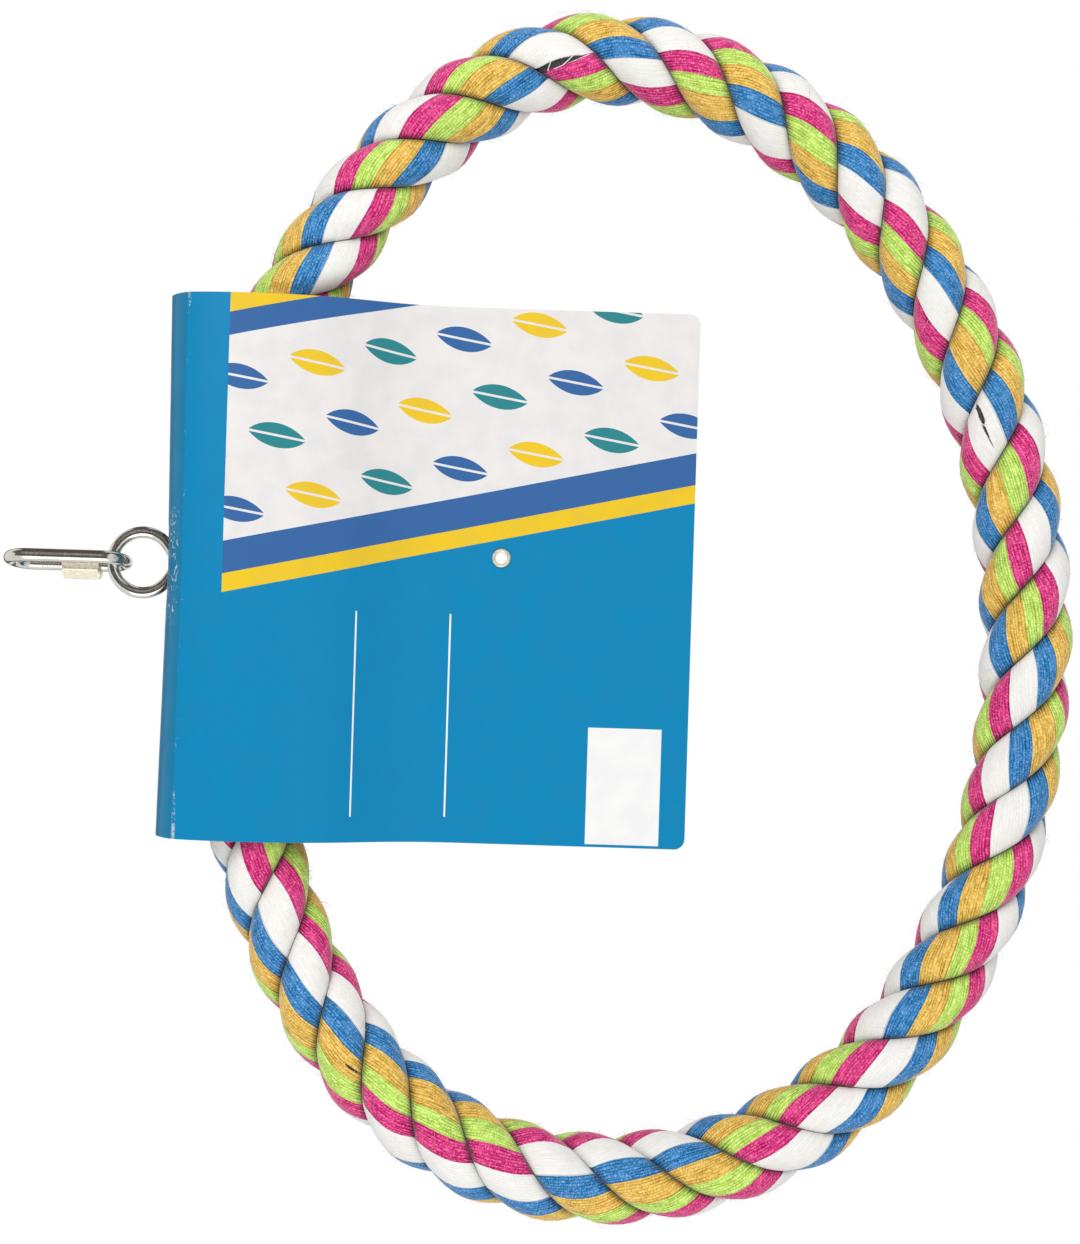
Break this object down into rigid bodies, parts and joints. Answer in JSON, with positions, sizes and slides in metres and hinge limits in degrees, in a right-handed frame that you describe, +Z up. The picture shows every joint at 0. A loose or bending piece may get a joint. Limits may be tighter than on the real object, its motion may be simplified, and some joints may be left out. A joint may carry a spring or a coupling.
{
  "type": "bird swing",
  "caption": "Oval perch ring of thick laid cotton rope, closed by a plastic tube and hung on an eye bolt and quick link, with a folded display card round the tube.",
  "frame": {"origin": "the hang point, on the inside of the quick link's top bend", "axes": "+Z up as the swing hangs, +Y through the ring to its back, +X to the right along the tube, seen from the card's front"},
  "size_m": [0.3449, 0.0348, 0.3056],
  "materials": {
    "bright_zinc": "bright zinc plated steel wire",
    "satin_nickel": "satin nickel plated steel",
    "white_tube": "white extruded plastic tube",
    "cloth_tape": "black cloth tape",
    "cotton_rope": "laid cotton in magenta, white, blue, ochre and lime yarns",
    "printed_card": "thin coated card, semi-gloss blue print"
  },
  "bodies": {
    "link": {"link_body": "bright_zinc"},
    "sleeve": {"link_sleeve_nut": "satin_nickel"},
    "ring": {"eye_bolt": "bright_zinc", "eye_washer": "bright_zinc", "eye_nut": "bright_zinc", "joint_tube": "white_tube", "end_tape_right": "cloth_tape", "end_tape_left": "cloth_tape", "strand_1": "cotton_rope", "strand_2": "cotton_rope", "strand_3": "cotton_rope", "header_card": "printed_card", "card_eyelet": "satin_nickel"}
  },
  "joints": [
    {"name": "ring_swing", "type": "hinge", "parent": "link", "child": "ring", "pos_m": [0, 0, -0.02745], "axis": [1, 0, 0], "range_deg": [-80, 80]},
    {"name": "sleeve_travel", "type": "slide", "parent": "link", "child": "sleeve", "axis": [0, 0, 1], "range_m": [0, 0.008]}
  ]
}
